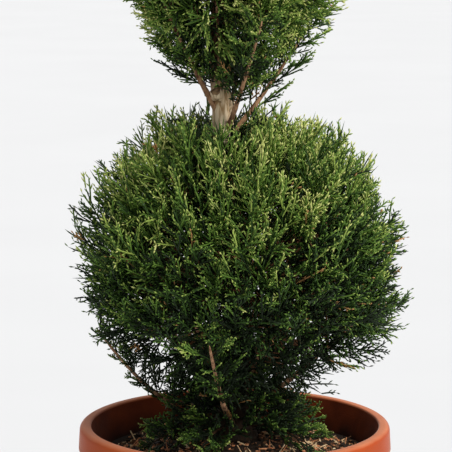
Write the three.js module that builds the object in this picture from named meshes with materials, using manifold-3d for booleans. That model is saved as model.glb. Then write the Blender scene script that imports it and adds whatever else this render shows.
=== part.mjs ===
// Two-ball topiary of a clipped cypress, growing in a round clay pot.
// Millimetres, +Z up. The origin is on the floor, under the middle of the pot.
import * as THREE from 'three';
import { mergeVertices } from 'three/addons/utils/BufferGeometryUtils.js';
import Module from 'manifold-3d';

const wasm = await Module();
wasm.setup();

const { lerp, degToRad, clamp } = THREE.MathUtils;
const UP = new THREE.Vector3(0, 0, 1);

// Driving dimensions
const CLEARANCE = 0.3;
const GOLDEN_ANGLE = degToRad(137.5);

const POT = {
  height: 265, rimRadius: 150, rimBand: 26, rimStep: 6, rimFlare: 1, rimRound: 5, lipRound: 2,
  wall: 11, baseRadius: 98, bevel: 3, floor: 14, fillet: 6, drainRadius: 13, sides: 36,
};
const SOIL = {
  drop: 32, mound: 18, lump: 3.5, seatRadius: 34, rings: 5, seed: 5,
  chips: 12, chipLength: [12, 26], chipWidth: [3, 6], chipHeight: 3, chipTilt: 0.3, chipShown: 0.9,
};
const SOIL_EDGE = POT.height - SOIL.drop;
const SOIL_TOP = SOIL_EDGE + SOIL.mound;

// The trunk leans a little towards -X at the neck between the balls, then straightens.
const TRUNK = {
  foot: [0, 0], bow: 3, bowAt: 0.4, neck: [-12, 571], sweep: 4, sweepAt: 0.35, tip: [-4, 812],
  footRadius: 14, flare: 10, flareHeight: 20, neckRadius: 9.8, tipRadius: 1.6,
  sides: 12, steps: 17, lowSteps: 1.4,
};
// Stubs of cut side shoots on the neck of the trunk.
const STUBS = [
  { height: 578, azimuth: 245, rise: 35, length: 17, radius: 6.2 },
  { height: 556, azimuth: 325, rise: 62, length: 25, radius: 3.4 },
];

// A ball's outline is round above its middle. Below it, a low power draws the outline in to a cone.
const LOWER_BALL = {
  name: 'lower_ball', middle: [3, 0, 425], radius: 157, above: 160, below: 146, belowPower: 2,
  coreShare: [0.94, 0.66], fronds: 76, openBelow: -0.9, coreDetail: 4, seed: 11,
};
const UPPER_BALL = {
  name: 'upper_ball', middle: [-2, 0, 725], radius: 117, above: 119, below: 157, belowPower: 1.5,
  coreShare: [0.93, 0.62], fronds: 44, openBelow: -0.92, coreDetail: 3, seed: 23,
};
const BALL = {
  lump: 0.03, lumpWaves: [3, 4], fineShare: 0.7, fineWaves: [9, 5], tuft: 0.14, tuftLift: 0.06,
  boreRoom: 4, snagRadius: 4, snagLength: 16, snagLift: 10,
  lobes: 3, tips: [0.99, 1.07], sunk: 26, walk: 2, longest: 95, lift: 0.45, sway: 0.25,
};

// A frond is a flat spray of foliage: a plate with pointed lobes fanned out from a narrow stalk.
const FROND = {
  thickness: 2.8, stalk: 1.8, forkAt: 0.32, lobeAngle: 28, sideShare: 0.8, notch: 0.26,
  margin: 2.5, room: 6.5,
};

// Boughs leave the trunk one golden angle apart. The outer ones come first and run along the
// underside of the ball, where each carries a skirt of foliage. The inner ones are steeper and go
// into the ball's core. Of each pair of heights or angles, the first is for a bough that points to
// -X and the last for one that points to +X.
const LOWER_BOUGHS = {
  name: 'lower_bough', skirt: 'lower_skirt', turn: -15, legs: [70, 112], bareShare: 0.64,
  outer: { count: 5, heights: [259, 264], rises: [4, 40], bends: [51, 4], rootRadius: 3.6 },
  inner: { count: 5, heights: [266, 280], rises: [55, 59], bends: [12, 12], rootRadius: 3 },
};
const UPPER_BOUGHS = {
  name: 'upper_bough', skirt: 'upper_skirt', turn: 20, legs: [70, 72], bareShare: 0.42,
  outer: { count: 5, heights: [558, 536], rises: [58, 48], bends: [8, 8], rootRadius: 2.9 },
  inner: { count: 3, heights: [566, 586], rises: [66, 66], bends: [7, 7], rootRadius: 2.5 },
};
const BOUGH = { sides: 6, steps: 3, tipShare: 0.5, socket: 8, walk: 2, places: 40 };

// Open foliage: a stem with small fronds one golden angle apart, shorter towards its tip.
const STEM = { sides: 4, steps: 2, tipShare: 0.35, places: 12, lobes: 3 };
const SKIRT = {
  fronds: 7, from: 0.1, to: 0.97, angle: 44, lengths: [36, 26], overCore: 2, overOutline: 18,
};
const FOOT_SPRAY = {
  name: 'foot_spray', azimuths: [-31, 21, 106, 201, 244], height: 260, length: 92, rise: 16, droop: 28,
  crownAt: 0.5, stemRadius: 2.3, fronds: 5, from: 0.4, to: 0.95, angle: 38, lengths: [34, 24], overSoil: 3,
  seed: 41,
};

const CLAY = { color: 0xb4552f, roughness: 0.75, metalness: 0 };
const COMPOST = { color: 0x3a2a1c, roughness: 0.95, metalness: 0 };
const BARK = { color: 0x7d6548, roughness: 0.9, metalness: 0 };
const TWIG_BARK = { color: 0x7a4a2c, roughness: 0.85, metalness: 0 };
const FOLIAGE = { color: 0x3f6a2a, roughness: 0.6, metalness: 0 };

// Numbers from 0 to 1 that come out the same each time for one seed.
function seededRandom(seed) {
  let state = seed >>> 0;
  return () => {
    state = (Math.imul(state, 1664525) + 1013904223) >>> 0;
    return state / 2 ** 32;
  };
}

// Closed solids from three.js geometry, and back again

function solidOf(geometry) {
  const bare = geometry.clone();
  bare.deleteAttribute('normal');
  bare.deleteAttribute('uv');
  const merged = mergeVertices(bare, 1e-4);
  const triVerts = new Uint32Array(merged.index.array);
  const vertProperties = merged.attributes.position.array;
  return new wasm.Manifold(new wasm.Mesh({ numProp: 3, vertProperties, triVerts }));
}

function geometryOf(solid) {
  const { vertProperties, triVerts } = solid.getMesh();
  const geometry = new THREE.BufferGeometry();
  geometry.setAttribute('position', new THREE.BufferAttribute(new Float32Array(vertProperties), 3));
  geometry.setIndex(new THREE.BufferAttribute(new Uint32Array(triVerts), 1));
  geometry.computeVertexNormals();
  return geometry;
}

function largestBody(solid) {
  return solid.decompose().reduce((best, body) => (body.volume() > best.volume() ? body : best));
}

// A round profile turned about the Z axis.
function turned(profile, sides) {
  const points = profile.map(([radius, height]) => new THREE.Vector2(radius, height));
  return new THREE.LatheGeometry(points, sides).rotateX(Math.PI / 2);
}

function quarterRound(centreRadius, centreHeight, size, fromDegrees, steps) {
  return Array.from({ length: steps + 1 }, (_, i) => {
    const angle = degToRad(fromDegrees + (90 * i) / steps);
    return [centreRadius + size * Math.cos(angle), centreHeight + size * Math.sin(angle)];
  });
}

// A limb is a round bar bent along a curve, with its own radius at each place.
function limb(curve, radiusAt, sides, steps) {
  const bar = new THREE.CylinderGeometry(1, 1, 1, sides, steps);
  const position = bar.attributes.position;
  const frames = curve.computeFrenetFrames(steps);
  const place = new THREE.Vector3();
  for (let i = 0; i < position.count; i++) {
    const along = clamp(position.getY(i) + 0.5, 0, 1);
    const frame = Math.round(along * steps);
    const radius = radiusAt(along);
    curve.getPoint(along, place);
    place.addScaledVector(frames.binormals[frame], radius * position.getX(i));
    place.addScaledVector(frames.normals[frame], radius * position.getZ(i));
    position.setXYZ(i, place.x, place.y, place.z);
  }
  return solidOf(bar);
}

// Pot and soil

function innerWallRadius(height) {
  const share = (height - POT.floor) / (POT.height - POT.floor);
  return lerp(POT.baseRadius - POT.wall, POT.rimRadius - POT.wall, share);
}

function potSolid() {
  const { height, rimRadius, rimRound, lipRound, wall, baseRadius, bevel, floor, drainRadius } = POT;
  const bandFoot = height - POT.rimBand;
  const outer = [
    [drainRadius, 0], [baseRadius - bevel, 0], [baseRadius, bevel],
    [rimRadius - POT.rimStep, bandFoot - bevel], [rimRadius - bevel / 2, bandFoot],
    [rimRadius + POT.rimFlare, bandFoot + bevel],
  ];
  const rim = [
    ...quarterRound(rimRadius - rimRound, height - rimRound, rimRound, 0, 3),
    ...quarterRound(rimRadius - wall + lipRound, height - lipRound, lipRound, 90, 2),
  ];
  const inner = [
    [innerWallRadius(floor + POT.fillet), floor + POT.fillet],
    [innerWallRadius(floor) - POT.fillet, floor], [drainRadius, floor],
  ];
  const profile = [...outer, ...rim, ...inner];
  return solidOf(turned([...profile, profile[0]], POT.sides));
}

const soilRadius = innerWallRadius(SOIL_EDGE) - CLEARANCE;

// The soil is heaped up from the pot's wall to a level seat under the trunk.
function soilHeight(fromAxis) {
  const share = clamp((soilRadius - fromAxis) / (soilRadius - SOIL.seatRadius), 0, 1);
  return lerp(SOIL_EDGE, SOIL_TOP, share);
}

function soilSolid(random) {
  const foot = POT.floor + CLEARANCE;
  const surface = Array.from({ length: SOIL.rings }, (_, i) => {
    const fromAxis = lerp(soilRadius, SOIL.seatRadius, i / (SOIL.rings - 1));
    return [fromAxis, soilHeight(fromAxis)];
  });
  const below = [
    [0, foot], [innerWallRadius(POT.floor) - POT.fillet, foot],
    [innerWallRadius(foot + POT.fillet) - CLEARANCE, foot + POT.fillet],
  ];
  const profile = [...below, ...surface, [0, SOIL_TOP]];
  const bare = turned(profile, POT.sides).deleteAttribute('normal').deleteAttribute('uv');
  const bed = mergeVertices(bare, 1e-4);
  const position = bed.attributes.position;
  for (let i = 0; i < position.count; i++) {
    const fromAxis = Math.hypot(position.getX(i), position.getY(i));
    const onSurface = position.getZ(i) > SOIL_EDGE - 1;
    const isLoose = fromAxis > SOIL.seatRadius + 1 && fromAxis < soilRadius - 1;
    if (onSurface && isLoose) position.setZ(i, position.getZ(i) - SOIL.lump * random());
  }
  const chips = Array.from({ length: SOIL.chips }, (_, i) => barkChip(i, random));
  return largestBody(wasm.Manifold.union([solidOf(bed), ...chips]));
}

// A chip of bark, half sunk in the soil between the trunk and the pot's wall.
function barkChip(index, random) {
  const length = lerp(...SOIL.chipLength, random());
  const nearest = SOIL.seatRadius + SOIL.chipLength[1] / 2;
  const furthest = soilRadius - SOIL.chipLength[1] / 2 - SOIL.chipWidth[1];
  const from = lerp(nearest, furthest, Math.sqrt((index + 0.5) / SOIL.chips));
  const height = soilHeight(from) - SOIL.lump / 2 + SOIL.chipShown;
  const chip = new THREE.BoxGeometry(length, lerp(...SOIL.chipWidth, random()), SOIL.chipHeight);
  chip.rotateY(lerp(-SOIL.chipTilt, SOIL.chipTilt, random())).rotateZ(Math.PI * random());
  chip.translate(from * Math.cos(index * GOLDEN_ANGLE), from * Math.sin(index * GOLDEN_ANGLE), height);
  return solidOf(chip);
}

// Trunk and boughs

const trunkFoot = SOIL_TOP + CLEARANCE;
const trunkCurve = new THREE.CatmullRomCurve3([
  new THREE.Vector3(...TRUNK.foot, trunkFoot),
  new THREE.Vector3(TRUNK.foot[0] + TRUNK.bow, 0, lerp(trunkFoot, TRUNK.neck[1], TRUNK.bowAt)),
  new THREE.Vector3(TRUNK.neck[0], 0, TRUNK.neck[1]),
  new THREE.Vector3(TRUNK.neck[0] - TRUNK.sweep, 0, lerp(TRUNK.neck[1], TRUNK.tip[1], TRUNK.sweepAt)),
  new THREE.Vector3(TRUNK.tip[0], 0, TRUNK.tip[1]),
]);

function trunkAxisAt(height) {
  let low = 0;
  let high = 1;
  while (high - low > 1e-9) {
    const middle = (low + high) / 2;
    if (trunkCurve.getPoint(middle).z < height) low = middle;
    else high = middle;
  }
  return trunkCurve.getPoint(low);
}

function trunkRadius(height) {
  const flare = TRUNK.flare * Math.exp(-(height - trunkFoot) / TRUNK.flareHeight);
  const toNeck = (height - trunkFoot) / (TRUNK.neck[1] - trunkFoot);
  const toTip = (height - TRUNK.neck[1]) / (TRUNK.tip[1] - TRUNK.neck[1]);
  return toNeck < 1
    ? flare + lerp(TRUNK.footRadius, TRUNK.neckRadius, toNeck)
    : lerp(TRUNK.neckRadius, TRUNK.tipRadius, toTip);
}

function heading(length, rise, azimuth) {
  const flat = length * Math.cos(rise);
  return new THREE.Vector3(flat * Math.cos(azimuth), flat * Math.sin(azimuth), length * Math.sin(rise));
}

function stubSolid({ height, azimuth, rise, length, radius }, extra) {
  const root = trunkAxisAt(height);
  const end = root.clone().add(heading(length + extra, degToRad(rise), degToRad(azimuth)));
  return limb(new THREE.LineCurve3(root, end), () => radius + extra, BOUGH.sides, 1);
}

// The trunk's sections are level, so its cut foot is level too. With extra, the trunk is that much
// wider and longer: the room it needs.
function trunkSolid(extra) {
  const bar = new THREE.CylinderGeometry(1, 1, 1, TRUNK.sides, TRUNK.steps).rotateX(Math.PI / 2);
  const position = bar.attributes.position;
  for (let i = 0; i < position.count; i++) {
    const along = clamp(position.getZ(i) + 0.5, 0, 1);
    const place = trunkCurve.getPoint(along ** TRUNK.lowSteps);
    const radius = trunkRadius(place.z) + extra;
    const end = extra * (Number(along === 1) - Number(along === 0));
    place.add(new THREE.Vector3(radius * position.getX(i), radius * position.getY(i), end));
    position.setXYZ(i, place.x, place.y, place.z);
  }
  return wasm.Manifold.union([solidOf(bar), ...STUBS.map((stub) => stubSolid(stub, extra))]);
}

// Where one bough comes in its tier: its ring, its turn about the trunk, its root and its angles.
function boughPlan(tier, index) {
  const isOuter = index < tier.outer.count;
  const ring = isOuter ? tier.outer : tier.inner;
  const azimuth = degToRad(tier.turn) + index * GOLDEN_ANGLE;
  const side = (1 + Math.cos(azimuth)) / 2;
  const root = trunkAxisAt(lerp(...ring.heights, side));
  const rise = degToRad(lerp(...ring.rises, side));
  return { isOuter, ring, azimuth, root, rise, bend: degToRad(lerp(...ring.bends, side)) };
}

// The whole run of a bough, from the trunk's axis to the end of the foliage that it carries.
function boughCurve([firstLeg, lastLeg], { azimuth, root, rise, bend }) {
  const elbow = root.clone().add(heading(firstLeg, rise, azimuth));
  const end = elbow.clone().add(heading(lastLeg, rise + bend, azimuth));
  return new THREE.QuadraticBezierCurve3(root, elbow, end);
}

function splitCurve({ v0, v1, v2 }, share) {
  const point = new THREE.QuadraticBezierCurve3(v0, v1, v2).getPoint(share);
  return [
    new THREE.QuadraticBezierCurve3(v0, v0.clone().lerp(v1, share), point),
    new THREE.QuadraticBezierCurve3(point, v1.clone().lerp(v2, share), v2),
  ];
}

// The share of its run after which an inner bough is well inside the ball's core.
function shareToCore(curve, ball) {
  const steps = Math.round(curve.getLength() / BOUGH.walk);
  for (let i = 1; i < steps; i++) {
    if (depthInside(coreReach, ball, curve.getPoint(i / steps)) > BOUGH.socket) return i / steps;
  }
  return 1;
}

function boughsOf(tier, ball) {
  return Array.from({ length: tier.outer.count + tier.inner.count }, (_, index) => {
    const plan = boughPlan(tier, index);
    const whole = boughCurve(tier.legs, plan);
    const share = plan.isOuter ? tier.bareShare : shareToCore(whole, ball);
    const [bare, beyond] = splitCurve(whole, share);
    const radiusAt = (along) => plan.ring.rootRadius * lerp(1, BOUGH.tipShare, along * share);
    return { bare, beyond, radiusAt, isOuter: plan.isOuter };
  });
}

// With extra, the bough is that much wider and longer: the room it needs.
function boughSolid({ bare, radiusAt }, extra) {
  const end = bare.v2.clone().addScaledVector(bare.getTangent(1), extra);
  const curve = new THREE.QuadraticBezierCurve3(bare.v0, bare.v1, end);
  return limb(curve, (along) => radiusAt(along) + extra, BOUGH.sides, BOUGH.steps);
}

// Places that foliage keeps out of

function placesAlong(curve, radiusAt, count) {
  return Array.from({ length: count + 1 }, (_, i) => (
    { point: curve.getPoint(i / count), radius: radiusAt(i / count) }));
}

function isClear(point, places) {
  return places.every((place) => point.distanceTo(place.point) > place.radius + FROND.margin);
}

// Fronds

// The lobes of a frond, as places in its own plane: x along its growth, y to its side.
function frondLobes(length, lobes) {
  const fork = new THREE.Vector2(FROND.forkAt * length, 0);
  const lobeAt = (share, reach) => {
    const angle = degToRad(FROND.lobeAngle * (lobes - 1) * (share - 0.5));
    const shorter = lerp(1, FROND.sideShare, Math.abs(2 * share - 1));
    const out = reach * shorter * (length - fork.x);
    return new THREE.Vector2(fork.x + out * Math.cos(angle), out * Math.sin(angle));
  };
  const tips = Array.from({ length: lobes }, (_, i) => lobeAt(i / (lobes - 1), 1));
  const notches = tips.slice(1).map((_, i) => lobeAt((i + 0.5) / (lobes - 1), FROND.notch));
  return { fork, tips, notches };
}

function frond(root, tip, side, lobes) {
  const growth = tip.clone().sub(root);
  const length = growth.length();
  growth.normalize();
  const place = new THREE.Matrix4().makeBasis(growth, side, growth.clone().cross(side)).setPosition(root);
  return { place, ...frondLobes(length, lobes) };
}

function frondSolid({ place, tips, notches }) {
  const outline = new THREE.Shape([
    new THREE.Vector2(0, -FROND.stalk),
    ...tips.flatMap((tip, i) => (i < notches.length ? [tip, notches[i]] : [tip])),
    new THREE.Vector2(0, FROND.stalk),
  ]);
  const plate = new THREE.ExtrudeGeometry(outline, { depth: FROND.thickness, bevelEnabled: false });
  return solidOf(plate.translate(0, 0, -FROND.thickness / 2).applyMatrix4(place));
}

// Points along the stalk and each lobe, to test where the frond reaches.
function frondPoints({ place, fork, tips }) {
  const shares = [0, 0.25, 0.5, 0.75, 1];
  const onLobes = tips.flatMap((tip) => shares.map((share) => fork.clone().lerp(tip, share)));
  return [fork.clone().multiplyScalar(0.5), ...onLobes]
    .map((flat) => new THREE.Vector3(flat.x, flat.y, 0).applyMatrix4(place));
}

// Balls of foliage

// How far the ball's outline lies from its middle, in one direction.
function outlineReach(ball, direction) {
  const flat = Math.hypot(direction.x, direction.y);
  const isBelow = direction.z < 0;
  const power = isBelow ? ball.belowPower : 2;
  const upright = Math.abs(direction.z) / (isBelow ? ball.below : ball.above);
  const reach = ((flat / ball.radius) ** power + upright ** power) ** (-1 / power);
  const azimuth = Math.atan2(direction.y, direction.x);
  const [around, upward] = BALL.lumpWaves;
  const [fineAround, fineUpward] = BALL.fineWaves;
  const lumps = Math.sin(around * azimuth + ball.seed) * Math.cos(upward * direction.z + ball.seed)
    + BALL.fineShare * Math.sin(fineAround * azimuth - fineUpward * direction.z);
  return reach * (1 + BALL.lump * lumps * flat);
}

// How far the core reaches. It is drawn further in under the ball, where the boughs show.
function coreReach(ball, direction) {
  const share = lerp(...ball.coreShare, clamp(-direction.z, 0, 1));
  return share * outlineReach(ball, direction);
}

// How far inside the core or the outline a point lies, on the line from the ball's middle.
function depthInside(reachOf, ball, point) {
  const offset = point.clone().sub(new THREE.Vector3(...ball.middle));
  const distance = offset.length();
  return reachOf(ball, offset.normalize()) - distance;
}

// The core is a ball of short tufts: each of its faces is raised to a point that leans up, where
// that point is clear of the places.
function coreSolid(ball, places) {
  const middle = new THREE.Vector3(...ball.middle);
  const coreAt = (direction, share) => (
    direction.clone().multiplyScalar(share * coreReach(ball, direction)).add(middle));
  const position = new THREE.IcosahedronGeometry(1, ball.coreDetail).attributes.position;
  const corners = [];
  for (let i = 0; i < position.count; i += 3) {
    const face = [i, i + 1, i + 2].map((j) => new THREE.Vector3().fromBufferAttribute(position, j));
    const outward = face[0].clone().add(face[1]).add(face[2]).normalize();
    const leaning = outward.addScaledVector(UP, BALL.tuftLift).normalize();
    const point = coreAt(leaning, 1);
    const summit = isClear(point, places) ? point : coreAt(leaning, 1 - BALL.tuft);
    const base = face.map((direction) => coreAt(direction, 1 - BALL.tuft));
    base.forEach((place, j) => corners.push(place, base[(j + 1) % base.length], summit));
  }
  return solidOf(new THREE.BufferGeometry().setFromPoints(corners));
}

// Directions spread evenly over a sphere, one golden angle apart, from the top down.
function spreadDirection(index, count) {
  const z = 1 - (2 * index + 1) / count;
  const flat = Math.sqrt(1 - z * z);
  return new THREE.Vector3(flat * Math.cos(index * GOLDEN_ANGLE), flat * Math.sin(index * GOLDEN_ANGLE), z);
}

function anySideways(direction, random) {
  const loose = new THREE.Vector3(random() - 0.5, random() - 0.5, random() - 0.5);
  return loose.cross(direction).normalize();
}

// A frond of a ball grows out and up from inside the core, with its tip at the outline.
function ballFrond(ball, direction, random) {
  const sway = anySideways(direction, random).multiplyScalar(BALL.sway);
  const growth = direction.clone().addScaledVector(UP, BALL.lift).add(sway).normalize();
  const reach = outlineReach(ball, direction) * lerp(...BALL.tips, random());
  const tip = direction.clone().multiplyScalar(reach).add(new THREE.Vector3(...ball.middle));
  const root = tip.clone();
  const side = anySideways(growth, random);
  while (depthInside(coreReach, ball, root) < BALL.sunk && root.distanceTo(tip) < BALL.longest) {
    root.addScaledVector(growth, -BALL.walk);
  }
  return frond(root, tip, side, BALL.lobes);
}

// The stem of a ball: a short snag inside the core that reaches the trunk.
function ballStem(ball) {
  const axis = trunkAxisAt(ball.middle[2]);
  const end = axis.clone().add(new THREE.Vector3(0, trunkRadius(axis.z) + BALL.snagLength, BALL.snagLift));
  return limb(new THREE.LineCurve3(axis, end), () => BALL.snagRadius, BOUGH.sides, 1);
}

function ballSolid(ball, limbRooms, places) {
  const random = seededRandom(ball.seed);
  const fronds = [];
  for (let i = 0; i < ball.fronds; i++) {
    const direction = spreadDirection(i, ball.fronds);
    const each = ballFrond(ball, direction, random);
    const isFree = frondPoints(each).every((point) => isClear(point, places));
    if (isFree && direction.z > ball.openBelow) fronds.push(frondSolid(each));
  }
  const core = coreSolid(ball, places).subtract(trunkSolid(BALL.boreRoom));
  const whole = wasm.Manifold.union([core, ballStem(ball), ...fronds]);
  return largestBody(whole.subtract(wasm.Manifold.union(limbRooms)));
}

// Open foliage

function stemFronds(stem, habit, isFree, random) {
  const frames = stem.computeFrenetFrames(habit.fronds);
  return Array.from({ length: habit.fronds }, (_, i) => {
    const share = i / (habit.fronds - 1);
    const along = lerp(habit.from, habit.to, share);
    const around = i * GOLDEN_ANGLE + random();
    const outward = frames.normals[i].clone().multiplyScalar(Math.cos(around))
      .addScaledVector(frames.binormals[i], Math.sin(around));
    const angle = degToRad(habit.angle);
    const growth = stem.getTangent(along).multiplyScalar(Math.cos(angle))
      .addScaledVector(outward, Math.sin(angle));
    const root = stem.getPoint(along);
    const tip = root.clone().addScaledVector(growth, lerp(...habit.lengths, share));
    return frond(root, tip, growth.clone().cross(outward).normalize(), STEM.lobes);
  }).filter((each) => frondPoints(each).every(isFree));
}

// With extra, the stem is that much wider and longer: the room it needs.
function stemSolid({ v0, v1, v2 }, stemRadius, extra) {
  const end = v2.clone().add(v2.clone().sub(v1).setLength(extra));
  const radiusAt = (along) => stemRadius * lerp(1, STEM.tipShare, along) + extra;
  return limb(new THREE.QuadraticBezierCurve3(v0, v1, end), radiusAt, STEM.sides, STEM.steps);
}

function openFoliage(stem, stemRadius, fronds) {
  return wasm.Manifold.union([stemSolid(stem, stemRadius, 0), ...fronds.map(frondSolid)]);
}

// The skirt that an outer bough carries: its stem goes on from the bough's tip.
function skirtOf(bough, ball, places, random) {
  const { v0, v1, v2 } = bough.beyond;
  const root = v0.clone().addScaledVector(bough.beyond.getTangent(0), CLEARANCE);
  const stem = new THREE.QuadraticBezierCurve3(root, v1, v2);
  const isFree = (point) => isClear(point, places)
    && depthInside(coreReach, ball, point) < -SKIRT.overCore
    && depthInside(outlineReach, ball, point) > -SKIRT.overOutline;
  const fronds = stemFronds(stem, SKIRT, isFree, random);
  const frondPlaces = fronds.flatMap(frondPoints).map((point) => ({ point, radius: FROND.room }));
  return {
    solid: largestBody(openFoliage(stem, bough.radiusAt(1), fronds)),
    room: stemSolid(stem, bough.radiusAt(1), CLEARANCE),
    places: [...placesAlong(stem, () => FROND.room, STEM.places), ...frondPlaces],
  };
}

// A foot spray arches out from the trunk, low over the soil.
function footSprayStem(index) {
  const { azimuths, height, length, rise, droop, crownAt } = FOOT_SPRAY;
  const outward = heading(1, 0, degToRad(azimuths[index]));
  const root = trunkAxisAt(height);
  const crown = root.clone().addScaledVector(outward, length * crownAt).addScaledVector(UP, rise);
  const end = root.clone().addScaledVector(outward, length).addScaledVector(UP, rise - droop);
  return new THREE.QuadraticBezierCurve3(root, crown, end);
}

function footSpraySolid(stem, places, random) {
  const isFree = (point) => isClear(point, places)
    && point.z > soilHeight(Math.hypot(point.x, point.y)) + FOOT_SPRAY.overSoil;
  const whole = openFoliage(stem, FOOT_SPRAY.stemRadius, stemFronds(stem, FOOT_SPRAY, isFree, random));
  return largestBody(whole.subtract(trunkRoom));
}

// Assembly

const topiary = new THREE.Group();

function addPiece(parent, name, solid, finish) {
  const mesh = new THREE.Mesh(geometryOf(solid), new THREE.MeshStandardMaterial(finish));
  mesh.name = name;
  parent.add(mesh);
}

const trunkRoom = trunkSolid(CLEARANCE);
const tiers = [[LOWER_BOUGHS, LOWER_BALL], [UPPER_BOUGHS, UPPER_BALL]]
  .map(([tier, ball]) => ({ tier, ball, boughs: boughsOf(tier, ball) }));
const everyBough = tiers.flatMap(({ boughs }) => boughs);
const limbRooms = [trunkRoom, ...everyBough.map((bough) => boughSolid(bough, CLEARANCE))];
const limbPlaces = [
  ...placesAlong(trunkCurve, (along) => trunkRadius(trunkCurve.getPoint(along).z), 4 * BOUGH.places),
  ...everyBough.flatMap(({ bare, radiusAt }) => placesAlong(bare, radiusAt, BOUGH.places)),
];

const planter = new THREE.Group();
addPiece(planter, 'pot', potSolid(), CLAY);
addPiece(planter, 'soil', soilSolid(seededRandom(SOIL.seed)), COMPOST);
topiary.add(planter);

const plant = new THREE.Group();
addPiece(plant, 'trunk', trunkSolid(0), BARK);
const taken = [...limbPlaces];
tiers.forEach(({ tier, ball, boughs }) => {
  const random = seededRandom(ball.seed + 1);
  boughs.forEach((bough, index) => {
    const seated = largestBody(boughSolid(bough, 0).subtract(trunkRoom));
    addPiece(plant, `${tier.name}_${index + 1}`, seated, TWIG_BARK);
  });
  boughs.filter((bough) => bough.isOuter).forEach((bough, index) => {
    const skirt = skirtOf(bough, ball, taken, random);
    taken.push(...skirt.places);
    limbRooms.push(skirt.room);
    addPiece(plant, `${tier.skirt}_${index + 1}`, skirt.solid, FOLIAGE);
  });
});
tiers.forEach(({ ball }) => addPiece(plant, ball.name, ballSolid(ball, limbRooms, taken), FOLIAGE));
const footRandom = seededRandom(FOOT_SPRAY.seed);
FOOT_SPRAY.azimuths.forEach((_, index) => {
  const spray = footSpraySolid(footSprayStem(index), limbPlaces, footRandom);
  addPiece(plant, `${FOOT_SPRAY.name}_${index + 1}`, spray, FOLIAGE);
});
topiary.add(plant);

export default topiary;
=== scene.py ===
import math
from types import SimpleNamespace as Sizes

import bpy
import numpy as np
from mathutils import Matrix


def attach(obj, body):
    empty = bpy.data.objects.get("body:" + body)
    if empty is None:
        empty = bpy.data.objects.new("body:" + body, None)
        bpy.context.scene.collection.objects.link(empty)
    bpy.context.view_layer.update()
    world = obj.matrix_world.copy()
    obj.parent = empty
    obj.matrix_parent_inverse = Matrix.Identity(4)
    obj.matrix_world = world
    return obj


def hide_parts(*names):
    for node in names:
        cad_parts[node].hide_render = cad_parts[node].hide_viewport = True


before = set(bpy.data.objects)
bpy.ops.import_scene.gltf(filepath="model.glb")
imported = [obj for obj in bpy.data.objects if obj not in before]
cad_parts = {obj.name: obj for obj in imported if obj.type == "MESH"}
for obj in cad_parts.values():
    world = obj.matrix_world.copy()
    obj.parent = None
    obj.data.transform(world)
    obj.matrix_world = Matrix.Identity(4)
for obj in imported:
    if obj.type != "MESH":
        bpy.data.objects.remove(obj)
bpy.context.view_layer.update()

# Lengths are in millimetres and angles in degrees. Meshes are brought to metres when they are made.
MM = 0.001
UP = np.array([0.0, 0.0, 1.0])
FULL_TURN = 2 * math.pi
GOLDEN_ANGLE = math.radians(137.5)

# Pot and soil. A noise's cells are counted around first, and then up or outwards.
POT = Sizes(
    height=265, rim_radius=150, rim_band=26, rim_step=6, rim_flare=1, rim_round=5, lip_round=2, lip_drop=1,
    wall=11, base_radius=98, bevel=3, floor=14, fillet=6, drain_radius=13,
    sides=128, foot_rings=(3, 2), wall_rings=26, band_rings=(2, 2, 5), rim_rings=6, lip_rings=4,
    thrown=0.25, wobble_cells=(5, 5), wheel_cells=(2, 40), wheel_share=0.35, seed=3,
)
SOIL = Sizes(
    drop=32, mound=18, clearance=0.3, seat_radius=34, inmost=1, rings=44, sides=132,
    lump=3.0, lump_cells=(13, 7), lump_sunk=0.6, crumb=1.6, crumb_cells=(54, 22), seed=5,
)
SOIL_EDGE = POT.height - SOIL.drop
SOIL_TOP = SOIL_EDGE + SOIL.mound

# Clods, shards, crumbs and straws on the soil. A mix is shares of dark, red and pale chips, and compost.
MULCH = [
    Sizes(count=240, length=(4, 10), width=(3, 6.5), flat=0.8, tilt=0.16, mix=(0.3, 0.08, 0, 0.62)),
    Sizes(count=210, length=(5, 17), width=(1.8, 4.4), flat=0.5, tilt=0.22, mix=(0.42, 0.4, 0.18, 0)),
    Sizes(count=2600, length=(1.6, 5), width=(1, 3), flat=0.8, tilt=0.16, mix=(0.34, 0.26, 0.12, 0.28)),
    Sizes(count=230, length=(8, 26), width=(1, 1.7), flat=0.8, tilt=0.42, mix=(0.15, 0.25, 0.6, 0)),
]
CHIP = Sizes(
    sides=5, knots=(-0.5, -0.12, 0.3, 0.5), rough=(0.6, 1.1), roll=0.35, raised=0.18,
    wall_room=2, seat_share=0.8, seed=6,
)

# Trunk, with its stubs of cut side shoots
TRUNK = Sizes(
    bow=3, bow_at=0.4, neck=(-12, 571), sweep=4, sweep_at=0.35, tip=(-4, 812),
    foot=SOIL_TOP + SOIL.clearance, foot_radius=14, flare=10, flare_height=20,
    neck_radius=9.8, tip_radius=1.6, sides=54, rings=200,
    furrow=1.0, furrow_cells=(17, 26), fine_share=0.5, fine_cells=(27, 60),
    swell=0.8, swell_cells=(4, 22), seed=7,
)
STUBS = [
    Sizes(height=578, azimuth=245, rise=35, length=17, radius=6.2),
    Sizes(height=556, azimuth=325, rise=62, length=25, radius=3.4),
]
STUB = Sizes(sides=14, rings=7, rough=0.26, round_end=0.72)

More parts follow.
